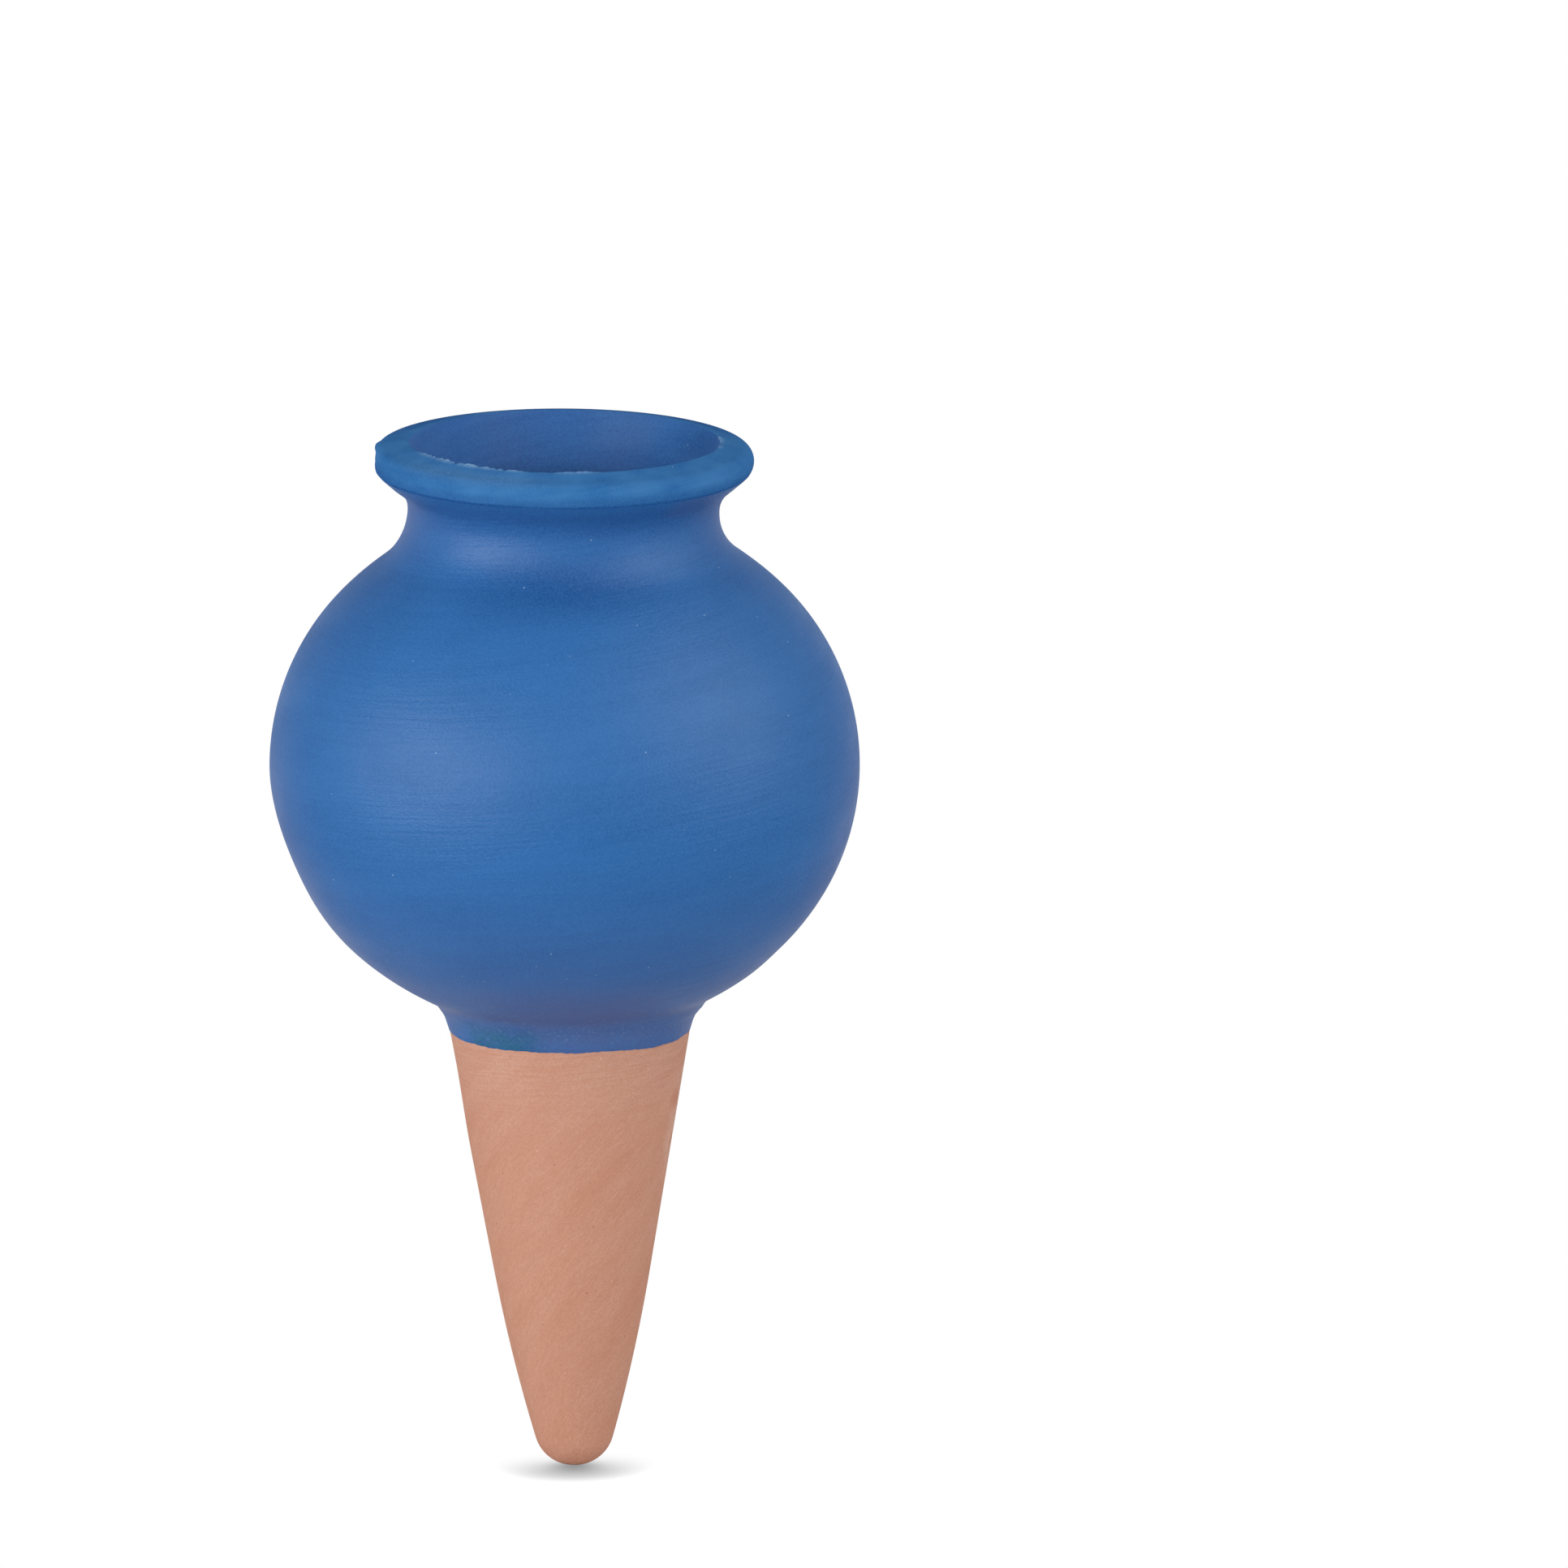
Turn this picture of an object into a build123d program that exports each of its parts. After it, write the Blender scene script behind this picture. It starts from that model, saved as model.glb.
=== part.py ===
from build123d import *
import os
from math import asin, atan2, cos, degrees, hypot, radians, sin, sqrt, tan

# Self-watering plant spike of fired clay, in millimetres.
# A thrown globe holds the water. It is luted with slip onto a hollow porous cone that is pushed into the
# soil, and the water seeps out through the cone's bare wall. A blue coat seals everything above the soil.
# The frame has +Z up along the turning axis and its origin on it at the soil line, where the coat ends.
# Every piece is turned, so each is one section, drawn as (radius, height), revolved about the axis.

# Blue coat
COAT = 0.3  # thickness of the film, everywhere
RIM_COAT_DROP = 4.2  # from the mouth's edge down to the rim coat's lower edge
THROAT_COAT_DEPTH = 16.0  # how far the coat was brushed down inside the mouth

# Spike: the bare cone below the soil line
SPIKE_LENGTH = 72.3
SPIKE_DIAMETER = 38.8  # at the soil line
SPIKE_STRAIGHT = 40.0  # height of the straight taper before it curves in to the tip
SPIKE_BULGE = 1.2  # degrees that the taper is steeper than a line drawn straight to the tip
TIP_RADIUS = 6.3
SPIKE_WALL = 4.6  # measured across, at the soil line
TIP_WALL = 5.0
BORE_END_RADIUS = 3.0

# Luted joint: a spigot on the spike stands in the globe's hole, bedded in slip on scored faces
COLLAR_HEIGHT = 4.7  # from the soil line up to the globe's seat
SPIGOT_WALL = 2.5
SPIGOT_HEIGHT = 5.0
SLIP_BED = 0.6  # slip between the two scored faces
SLIP_GAP = 0.4  # slip between the spigot and the hole
SLIP_FILLET = 5.0  # wiped into the crease under the globe
SCORE_WIDTH = 0.6
SCORE_DEPTH = 0.4
SCORE_PITCH = 0.9

# Globe: an oval of four arcs, measured over the coat
GLOBE_DIAMETER = 95.0
GLOBE_HEIGHT = 86.0  # of the whole oval, before the neck and the hole cut its ends off
OVAL_TURN = 45.0  # degrees from the widest line to where each belly arc meets its cap arc
GLOBE_WALL = 5.0

# Neck, measured over the coat, and the clay of its flared, flat-topped lip
NECK_DIAMETER = 50.5
NECK_HEIGHT = 8.2  # between the shoulder and the lip's underside, before their fillets
NECK_WALL = 4.55
SHOULDER_FILLET = 10.0
LIP_OVERHANG = 5.5
LIP_SIDE = 2.85  # height of the lip's outer side, before its rounds
LIP_TOP_SLOPE = 9.0  # degrees below level, falling outwards
LIP_UNDERSIDE_SLOPE = 41.0  # degrees above level, rising outwards
LIP_FILLET = 5.6
LIP_ROUND = 2.4
LIP_EDGE_ROUND = 2.0
MOUTH_EDGE_ROUND = 0.5

# Inside of the neck
MOUTH_FLARE = 5.0  # how far the mouth's edge stands out from the throat
FLARE_DEPTH = 8.0
FLARE_ROUND = 8.0
THROAT_ROUND = 4.0


def tangent_taper(top_radius, end_height, end_radius):
    """Angle off the axis of a line from (top_radius, 0) that just touches a round end on the axis."""
    reach = hypot(top_radius, end_height)
    return atan2(top_radius, -end_height) - asin(end_radius / reach)


# Spike outline: a straight taper, then one long arc that runs tangent into the round tip
spike_radius = SPIKE_DIAMETER / 2
tip_centre = Vector(0, TIP_RADIUS - SPIKE_LENGTH)
taper = tangent_taper(spike_radius, tip_centre.Y, TIP_RADIUS) - radians(SPIKE_BULGE)


def collar_radius(height):
    """Outside radius of the spike's straight taper at a height above the soil line."""
    return spike_radius + height * tan(taper)


# Spike bore: a straight taper into its own round end, and a plain cylinder above the soil line
bore_radius = spike_radius - SPIKE_WALL
bore_end = Vector(0, TIP_WALL + BORE_END_RADIUS - SPIKE_LENGTH)
bore_taper = tangent_taper(bore_radius, bore_end.Y, BORE_END_RADIUS)

# Heights and radii of the luted joint
seat_height = COLLAR_HEIGHT
shoulder_height = seat_height - SLIP_BED
spigot_top = shoulder_height + SPIGOT_HEIGHT
spigot_radius = bore_radius + SPIGOT_WALL
hole_radius = spigot_radius + SLIP_GAP
seat_radius = collar_radius(seat_height)
shoulder_radius = collar_radius(shoulder_height)

# Oval of the globe: belly arcs hand over to cap arcs at OVAL_TURN, all four with fixed centres
half_width = GLOBE_DIAMETER / 2
half_height = GLOBE_HEIGHT / 2
turn = radians(OVAL_TURN)
narrowing = (1 - sin(turn)) / cos(turn)
belly_radius = (half_height - half_width * narrowing) / (1 - narrowing)
belly_offset = half_width - belly_radius
cap_radius = belly_radius + belly_offset / cos(turn)
cap_offset = cap_radius - half_height

# The globe stands where its lower cap, in clay, meets the collar at the seat
globe_centre = seat_height - cap_offset + sqrt((cap_radius - COAT) ** 2 - seat_radius**2)


def cap_height(radius, inset, side):
    """Height of a cap arc, inset from the finished oval, at a radius: side is 1 for the top and -1 below."""
    return globe_centre + side * (sqrt((cap_radius - inset) ** 2 - radius**2) - cap_offset)


def hand_over(inset, side):
    """Point where the belly arc meets the cap arc."""
    reach = belly_radius - inset
    return Vector(belly_offset + reach * cos(turn), globe_centre + side * reach * sin(turn))


def oval_arcs(bottom, top, inset):
    """The oval from a point on its lower cap to a point on its upper cap, as three tangent arcs."""
    lower = hand_over(inset, -1)
    upper = hand_over(inset, 1)
    belly = Vector(half_width - inset, globe_centre)
    return [
        RadiusArc(bottom, lower, -(cap_radius - inset)),
        ThreePointArc(lower, belly, upper),
        RadiusArc(upper, top, -(cap_radius - inset)),
    ]


# Neck and lip in clay, each corner placed from the one before it
inner_inset = COAT + GLOBE_WALL
neck_radius = NECK_DIAMETER / 2 - COAT
rim_radius = neck_radius + LIP_OVERHANG
throat_radius = neck_radius - NECK_WALL
mouth_radius = throat_radius + MOUTH_FLARE
shoulder_corner = Vector(neck_radius, cap_height(neck_radius, COAT, 1))
lip_corner = shoulder_corner + Vector(0, NECK_HEIGHT)
lip_low = lip_corner + Vector(1, tan(radians(LIP_UNDERSIDE_SLOPE))) * LIP_OVERHANG
lip_high = lip_low + Vector(0, LIP_SIDE)
mouth_edge = lip_high + Vector(-1, tan(radians(LIP_TOP_SLOPE))) * (rim_radius - mouth_radius)
flare_corner = Vector(throat_radius, mouth_edge.Y - FLARE_DEPTH)
throat_corner = Vector(throat_radius, cap_height(throat_radius, inner_inset, 1))


def corner(section, point):
    """The section's corner nearest a point."""
    return section.vertices().sort_by_distance(point)[0]


def paired_rounds(run, first_radius, first_turn, second_radius, second_turn):
    """Radii of the rounds at both ends of a straight run, drawn in where it is too short for both."""
    needed = first_radius * tan(first_turn / 2) + second_radius * tan(second_turn / 2)
    share = min(1, 0.98 * run / needed)
    return first_radius * share, second_radius * share


def globe_section():
    """Clay of the globe, neck and lip, from the flat seat at its hole up to the mouth."""
    seat_edge = Vector(seat_radius, seat_height)
    hole_top = Vector(hole_radius, cap_height(hole_radius, inner_inset, -1))
    hole_foot = Vector(hole_radius, seat_height)
    outside = oval_arcs(seat_edge, shoulder_corner, COAT)
    inside = oval_arcs(hole_top, throat_corner, inner_inset)
    lip = Polyline(shoulder_corner, lip_corner, lip_low, lip_high, mouth_edge, flare_corner, throat_corner)
    seat = Polyline(hole_top, hole_foot, seat_edge)
    section = make_face([*outside, *lip.edges(), *inside, *seat.edges()])
    quarter_turn = radians(90)
    shoulder_turn = quarter_turn - asin(neck_radius / (cap_radius - COAT))
    underside_turn = quarter_turn - radians(LIP_UNDERSIDE_SLOPE)
    top_turn = quarter_turn - radians(LIP_TOP_SLOPE)
    shoulder_fillet, lip_fillet = paired_rounds(
        NECK_HEIGHT, SHOULDER_FILLET, shoulder_turn, LIP_FILLET, underside_turn
    )
    lip_round, edge_round = paired_rounds(LIP_SIDE, LIP_ROUND, underside_turn, LIP_EDGE_ROUND, top_turn)
    rounds = [
        (shoulder_corner, shoulder_fillet),
        (lip_corner, lip_fillet),
        (lip_low, lip_round),
        (lip_high, edge_round),
        (mouth_edge, MOUTH_EDGE_ROUND),
        (flare_corner, FLARE_ROUND),
        (throat_corner, THROAT_ROUND),
    ]
    for point, radius in rounds:
        section = fillet(corner(section, point), radius)
    return section


def spike_section():
    """Clay of the spike, with its bore, its collar and the spigot that enters the globe."""
    bend = Vector(collar_radius(-SPIKE_STRAIGHT), -SPIKE_STRAIGHT)
    inward = Vector(-cos(taper), sin(taper))
    to_tip = tip_centre - bend
    side_radius = (to_tip.dot(to_tip) - TIP_RADIUS**2) / (2 * (to_tip.dot(inward) - TIP_RADIUS))
    side_centre = bend + inward * side_radius
    tip_start = side_centre + (tip_centre - side_centre).normalized() * side_radius
    tip = Vector(0, -SPIKE_LENGTH)
    bore_foot = Vector(0, bore_end.Y - BORE_END_RADIUS)
    bore_start = bore_end + Vector(cos(bore_taper), -sin(bore_taper)) * BORE_END_RADIUS
    upper = Polyline(
        bend,
        (shoulder_radius, shoulder_height),
        (spigot_radius, shoulder_height),
        (spigot_radius, spigot_top),
        (bore_radius, spigot_top),
        (bore_radius, 0),
        bore_start,
    )
    outline = [
        RadiusArc(tip, tip_start, -TIP_RADIUS),
        RadiusArc(tip_start, bend, -side_radius),
        *upper.edges(),
        RadiusArc(bore_start, bore_foot, BORE_END_RADIUS),
        Line(bore_foot, tip),
    ]
    return make_face(outline)


def joint_section():
    """The slip before scoring: a flat bed under the seat and a sleeve up round the spigot."""
    return make_face(
        Polyline(
            (spigot_radius, shoulder_height),
            (shoulder_radius, shoulder_height),
            (seat_radius, seat_height),
            (hole_radius, seat_height),
            (hole_radius, cap_height(hole_radius, inner_inset, -1)),
            (spigot_radius, spigot_top),
            close=True,
        )
    )


def scoring(inner, outer, height, way):
    """Rows of V-shaped scores across a flat ring, cut upwards where way is 1 and downwards where it is -1."""
    count = int((outer - inner) // SCORE_PITCH)
    first = (inner + outer - (count - 1) * SCORE_PITCH) / 2
    scores = []
    for index in range(count):
        middle = first + index * SCORE_PITCH
        low = (middle - SCORE_WIDTH / 2, height)
        high = (middle + SCORE_WIDTH / 2, height)
        point = (middle, height + way * SCORE_DEPTH)
        scores.append(make_face(Polyline(low, high, point, close=True)))
    return scores


def band(low, high):
    """A strip of the section plane between two heights, wider than the globe."""
    return Pos(0, (low + high) / 2) * Rectangle(4 * half_width, high - low)


def inner_half():
    """The section plane inside the middle of the clay's wall, from the bore up to the edge of the mouth."""
    inset = COAT + GLOBE_WALL / 2
    middle = (neck_radius + throat_radius) / 2
    foot = Vector(0, cap_height(0, inset, -1))
    top = Vector(middle, cap_height(middle, inset, 1))
    above_mouth = mouth_edge + (mouth_edge - Vector(middle, lip_corner.Y))
    neck = Polyline(top, (middle, lip_corner.Y), mouth_edge, above_mouth, (0, above_mouth.Y), foot)
    bore = Pos(0, globe_centre / 2) * Rectangle(bore_radius + spigot_radius, 2 * globe_centre)
    return make_face([*oval_arcs(foot, top, inset), *neck.edges()]) + bore


def build_sections():
    """Every piece's section, by the name of its node."""
    plain_globe = globe_section()
    plain_spike = spike_section()
    clay = plain_globe + plain_spike + joint_section()
    clay = fillet(corner(clay, (seat_radius, seat_height)), SLIP_FILLET)

    globe = plain_globe
    for score in scoring(hole_radius, seat_radius, seat_height, 1):
        globe -= score
    spike = plain_spike
    for score in scoring(spigot_radius, shoulder_radius, shoulder_height, -1):
        spike -= score

    film = offset(clay, COAT) - clay
    inside = inner_half()
    top = mouth_edge.Y + 2 * COAT
    rim_line = mouth_edge.Y - RIM_COAT_DROP
    throat_line = mouth_edge.Y - THROAT_COAT_DEPTH
    return {
        "globe": globe,
        "spike": spike,
        "slip_joint": clay - globe - spike,
        "globe_coat": (film - inside) & band(0, rim_line),
        "rim_coat": (film - inside) & band(rim_line, top),
        "throat_coat": (film & inside) & band(throat_line, top),
    }


os.makedirs("parts", exist_ok=True)
for node, section in build_sections().items():
    piece = revolve(Plane.XZ * section, Axis.Z)
    export_step(piece, f"parts/{node}.step")
    print(node, "volume", round(piece.volume), "solids", len(piece.solids()), piece.bounding_box())

print("taper of the spike", round(degrees(taper), 2), "degrees")
print("belly arc", round(belly_radius, 2), "cap arc", round(cap_radius, 2))
print("height above the soil", round(mouth_edge.Y + COAT, 2), "below it", SPIKE_LENGTH)
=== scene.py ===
# %% [markdown]
# A self-watering spike: a hollow clay globe, painted blue, on a bare porous cone that goes into the soil.
# The frame holds the true solids, all of them turned about one axis. This lesson dresses them: each piece is
# turned again on a finer mesh, nudged so that it looks thrown and brushed by hand, and given its own finish.

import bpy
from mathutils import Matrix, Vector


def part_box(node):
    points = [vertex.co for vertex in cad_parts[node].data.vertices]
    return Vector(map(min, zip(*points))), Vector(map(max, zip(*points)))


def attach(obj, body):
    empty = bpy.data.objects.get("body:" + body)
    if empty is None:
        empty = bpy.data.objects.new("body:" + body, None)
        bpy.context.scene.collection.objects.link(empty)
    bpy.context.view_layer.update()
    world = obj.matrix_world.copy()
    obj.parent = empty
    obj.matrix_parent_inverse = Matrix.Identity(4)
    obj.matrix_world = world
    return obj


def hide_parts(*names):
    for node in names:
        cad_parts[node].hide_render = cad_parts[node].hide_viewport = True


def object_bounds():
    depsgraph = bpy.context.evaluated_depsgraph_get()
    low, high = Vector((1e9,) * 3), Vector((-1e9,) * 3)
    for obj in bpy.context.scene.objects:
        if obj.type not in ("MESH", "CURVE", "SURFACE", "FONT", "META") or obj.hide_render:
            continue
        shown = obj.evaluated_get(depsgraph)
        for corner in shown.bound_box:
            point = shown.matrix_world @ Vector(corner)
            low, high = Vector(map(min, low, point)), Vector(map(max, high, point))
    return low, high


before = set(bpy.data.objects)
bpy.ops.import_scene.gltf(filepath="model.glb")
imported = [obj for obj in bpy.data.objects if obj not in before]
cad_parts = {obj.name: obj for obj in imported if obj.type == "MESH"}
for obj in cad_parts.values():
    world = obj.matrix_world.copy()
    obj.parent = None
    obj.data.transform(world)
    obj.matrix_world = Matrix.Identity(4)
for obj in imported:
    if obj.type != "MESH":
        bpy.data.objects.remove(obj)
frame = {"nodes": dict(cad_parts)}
cad_low, cad_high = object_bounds()
print("frame", [tuple(round(1000 * c, 2) for c in corner) for corner in (cad_low, cad_high)], "mm")

# %% [markdown]
# Blender works in metres and in linear light, while a potter thinks in millimetres and paint swatches.
# One length and one function keep the rest of the script in those plainer terms.

# %% Millimetres and swatches
import math

import bmesh
import bpy
import numpy as np
from mathutils import Matrix, Vector

MM = 0.001


def swatch(code):
    """A screen colour such as "c48e77" as linear red, green, blue and alpha."""
    parts = [int(code[i : i + 2], 16) / 255 for i in (0, 2, 4)]
    linear = [p / 12.92 if p <= 0.04045 else ((p + 0.055) / 1.055) ** 2.4 for p in parts]
    return (*linear, 1.0)


print("middle grey is", round(swatch("808080")[0], 3), "in linear light")

# %% [markdown]
# The photograph was taken from a little above the mouth with a long lens, so the two ellipses, at the mouth
# and at the edge of the paint, are almost equally open. A lens this long is nearly parallel. The camera is
# placed by one point, where the axis crosses the soil line, and rolled a little, because the pot leans.

# %% Camera
PHOTO_SIDE = 1932
SOIL_LINE_PIXEL = (700, 1265)
GLOBE_PIXELS = 727
VIEW_ELEVATION = math.radians(12.4)
VIEW_ROLL = math.radians(0.69)
VIEW_DISTANCE = 8.0

metres_per_pixel = (cad_high.x - cad_low.x) / GLOBE_PIXELS
aim = Matrix.Rotation(math.pi / 2 - VIEW_ELEVATION, 3, "X") @ Matrix.Rotation(-VIEW_ROLL, 3, "Z")
right, up, back = aim.col
step_right = (PHOTO_SIDE / 2 - SOIL_LINE_PIXEL[0]) * metres_per_pixel
step_up = (SOIL_LINE_PIXEL[1] - PHOTO_SIDE / 2) * metres_per_pixel

lens = bpy.data.cameras.new("long_lens")
lens.lens = lens.sensor_width * VIEW_DISTANCE / (PHOTO_SIDE * metres_per_pixel)
lens.clip_end = 3 * VIEW_DISTANCE
camera = bpy.data.objects.new("camera", lens)
camera.matrix_world = Matrix.LocRotScale(right * step_right + up * step_up + back * VIEW_DISTANCE, aim, None)
bpy.context.collection.objects.link(camera)
bpy.context.scene.camera = camera
print("lens", round(lens.lens), "mm, view", round(1000 * PHOTO_SIDE * metres_per_pixel), "mm wide")

# %% [markdown]
# Materials are built from nodes. One helper adds a node, sets its properties and fills its sockets, each with
# a plain value or with a link from another node, so that a material reads as a list of what it is made of.
# The Standard view shows each colour as it is written, with no film look over it.

# %% Nodes
def add(tree, kind, inputs=None, **settings):
    """Adds a node. Settings are its properties; inputs fill its sockets with values, sockets or nodes."""
    made = tree.nodes.new(kind)
    for name, value in settings.items():
        setattr(made, name, value)
    for key, value in (inputs or {}).items():
        if isinstance(value, bpy.types.Node):
            value = next(socket for socket in value.outputs if socket.enabled)
        if isinstance(value, bpy.types.NodeSocket):
            tree.links.new(value, made.inputs[key])
        else:
            made.inputs[key].default_value = value
    return made


def blank_material(name):
    """A new material and its empty node tree."""
    material = bpy.data.materials.new(name)
    material.use_nodes = True
    material.node_tree.nodes.clear()
    return material, material.node_tree


view = bpy.context.scene.view_settings
view.view_transform = "Standard"
print("colours are shown by the", view.view_transform, "view")

# %% [markdown]
# The stage is matt white studio paper, the same white wherever the camera or a mirror sees it, but shaded
# where something stands close, so that the tip keeps its shadow. Ambient Occlusion finds what stands close.
# Its normal leans away from the viewer, so it looks back at the tip and the shade falls to the front. An
# unlinked normal is ignored there, so the lean is linked from a node.

# %% White studio paper
PAPER_GREY = swatch("e0e0e0")
SHADE_REACH = 8 * MM
SHADE_LEAN = (0.0, 0.9, 0.44)


def seen_directly(tree):
    """1 for rays from the camera, a mirror or glass, and 0 for light that lands on the object."""
    path = add(tree, "ShaderNodeLightPath")
    seen = path.outputs["Is Camera Ray"]
    for ray in ("Is Glossy Ray", "Is Transmission Ray"):
        seen = add(tree, "ShaderNodeMath", {0: seen, 1: path.outputs[ray]}, operation="MAXIMUM")
    return seen


def studio_paper():
    """Matt white paper, shaded within a small reach of what stands on it."""
    material, tree = blank_material("white_studio_paper")
    matt = add(tree, "ShaderNodeBsdfDiffuse", {"Color": PAPER_GREY})
    lean = add(tree, "ShaderNodeCombineXYZ", dict(enumerate(SHADE_LEAN)))
    shade = add(tree, "ShaderNodeAmbientOcclusion", {"Distance": SHADE_REACH, "Normal": lean})
    white = add(tree, "ShaderNodeEmission", {"Strength": shade.outputs["AO"]})
    paper = add(tree, "ShaderNodeMixShader", {0: seen_directly(tree), 1: matt, 2: white})
    add(tree, "ShaderNodeOutputMaterial", {"Surface": paper})
    print(material.name, "from", len(tree.nodes), "nodes")
    return material


paper = studio_paper()

# %% [markdown]
# The paper lies level with the tip, in a soft white room like a photographer's light tent: even all round, a
# little dimmer overhead and behind.

# %% Floor and room
WALL_LIGHT = 0.84
CEILING_SHARE = 0.8
BACK_SHARE = 0.8
FLOOR_SIDE = 4.0


def paper_floor():
    """A square of paper at the level of the tip."""
    half, level = FLOOR_SIDE / 2, cad_low.z
    mesh = bpy.data.meshes.new("floor")
    corners = [(-half, -half, level), (half, -half, level), (half, half, level), (-half, half, level)]
    mesh.from_pydata(corners, [], [(0, 1, 2, 3)])
    mesh.materials.append(paper)
    floor = bpy.data.objects.new("floor", mesh)
    bpy.context.collection.objects.link(floor)


def soft_room():
    """A white room whose light fades from the walls to the ceiling. The camera sees it as pure white."""
    world = bpy.data.worlds.new("soft_room")
    bpy.context.scene.world = world
    world.use_nodes = True
    tree = world.node_tree
    tree.nodes.clear()
    towards = add(tree, "ShaderNodeSeparateXYZ", {0: add(tree, "ShaderNodeTexCoord").outputs["Generated"]})
    ceiling = add(tree, "ShaderNodeMapRange", {"Value": towards.outputs["Z"], "To Min": WALL_LIGHT,
                                               "To Max": CEILING_SHARE * WALL_LIGHT})
    behind = add(tree, "ShaderNodeMapRange", {"Value": towards.outputs["Y"], "From Min": -1.0, "To Min": 1.0,
                                              "To Max": BACK_SHARE})
    level = add(tree, "ShaderNodeMath", {0: ceiling, 1: behind}, operation="MULTIPLY")
    strength = add(tree, "ShaderNodeMix", {0: seen_directly(tree), 2: level, 3: 1.0})
    light = add(tree, "ShaderNodeBackground", {"Strength": strength})
    add(tree, "ShaderNodeOutputWorld", {"Surface": light})


paper_floor()
soft_room()
print("floor at", round(cad_low.z / MM, 1), "mm")

# %% [markdown]
# Two soft boxes stand left and right of the camera. On a matt globe they leave two broad pale patches with a
# deeper blue stripe between them, and two short glints at the foot of the neck. A weaker one stands by the
# camera and fills in. The light that a box throws and the shine that it leaves are set apart, as a pair of
# lamps in one place: one that only the matt part of a surface sees, and one that only its gloss sees.

# %% Soft boxes
def soft_box(name, side_angle, height_angle, distance, width, height, watts, shine_watts):
    """A pair of lamps that face the part from an angle round from the camera and one above the horizon."""
    middle = (cad_low + cad_high) / 2
    side, rise = math.radians(side_angle), math.radians(height_angle)
    towards = Vector((math.sin(side) * math.cos(rise), -math.cos(side) * math.cos(rise), math.sin(rise)))
    for part, power in (("light", watts), ("shine", shine_watts)):
        lamp = bpy.data.lights.new(f"{name}_{part}", "AREA")
        lamp.shape = "RECTANGLE"
        lamp.size, lamp.size_y, lamp.energy = width, height, power
        box = bpy.data.objects.new(lamp.name, lamp)
        box.location = middle + towards * distance
        box.rotation_euler = towards.to_track_quat("Z", "Y").to_euler()
        box.visible_camera = False
        box.visible_diffuse = part == "light"
        box.visible_glossy = part == "shine"
        bpy.context.collection.objects.link(box)
    print(name, watts, "W at", distance, "m")


soft_box("soft_box_left", side_angle=-53, height_angle=13, distance=0.9, width=0.9, height=0.45,
         watts=3.3, shine_watts=53.0)
soft_box("soft_box_right", side_angle=66, height_angle=29, distance=1.0, width=1.1, height=1.15,
         watts=3.3, shine_watts=64.0)
soft_box("soft_box_front", side_angle=-8, height_angle=20, distance=1.2, width=0.8, height=0.6,
         watts=1.55, shine_watts=9.0)

# %% [markdown]
# Each solid in the frame is a revolved section, and its mesh keeps the seam where the turn began: a chain of
# edges in the plane y = 0 that is the section's own outline. Reading that chain gives the true shape with no
# second set of sizes. Between corners its chords are split and averaged, which turns them back into curves.

# %% Read a section from the frame
CORNER = math.radians(30)
SPLITS = 8


def seam_chain(node):
    """The points (radius, height) along a node's seam in order, and whether they close on themselves."""
    mesh = frame["nodes"][node].data
    places = np.empty(3 * len(mesh.vertices))
    mesh.vertices.foreach_get("co", places)
    places = places.reshape(-1, 3)
    on_seam = (np.abs(places[:, 1]) < 1e-6) & (places[:, 0] > -1e-6)
    names = [tuple(place) for place in np.round(places[:, (0, 2)], 7)]
    links = {}
    for edge in mesh.edges:
        a, b = edge.vertices
        if on_seam[a] and on_seam[b] and names[a] != names[b]:
            links.setdefault(names[a], set()).add(names[b])
            links.setdefault(names[b], set()).add(names[a])
    ends = [place for place, near in links.items() if len(near) == 1]
    chain = [min(ends or links)]
    while len(chain) < len(links):
        chain.append(min(links[chain[-1]].difference(chain[-2:])))
    return np.array(chain), not ends


def turns(points):
    """How far an outline turns at each of its inner points."""
    along, rise = np.diff(points, axis=0).T
    return np.abs((np.diff(np.arctan2(rise, along)) + math.pi) % (2 * math.pi) - math.pi)


def smooth_run(points, spacing):
    """A run between two corners as an even curve: its chords split, averaged and spaced again."""
    fine = np.linspace(0, len(points) - 1, SPLITS * (len(points) - 1) + 1)
    line = np.column_stack([np.interp(fine, np.arange(len(points)), column) for column in points.T])
    window = np.hanning(2 * SPLITS + 1)
    before = 2 * line[0] - line[SPLITS:0:-1]
    after = 2 * line[-1] - line[-2 : -SPLITS - 2 : -1]
    padded = np.vstack([before, line, after])
    line = np.column_stack([np.convolve(column, window / window.sum(), "valid") for column in padded.T])
    length = np.concatenate([[0], np.cumsum(np.hypot(*np.diff(line, axis=0).T))])
    stops = np.linspace(0, length[-1], max(1, round(length[-1] / spacing)) + 1)
    return np.column_stack([np.interp(stops, length, column) for column in line.T])


def section(node, spacing):
    """A node's outline with curves for chords, corners kept and points about a spacing apart, in metres."""
    chain, closed = seam_chain(node)
    if closed:
        first = int(np.argmax(turns(np.vstack([chain[-1:], chain, chain[:1]]))))
        chain = np.roll(chain, -first, axis=0)
        chain = np.vstack([chain, chain[:1]])
    corners = [0, *(1 + np.flatnonzero(turns(chain) > CORNER)), len(chain) - 1]
    runs = [smooth_run(chain[a : b + 1], spacing)[:-1] for a, b in zip(corners, corners[1:])]
    return np.vstack(runs + ([] if closed else [chain[-1:]])), closed


print("globe section", len(section("globe", 1.2 * MM)[0]), "points")

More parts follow.
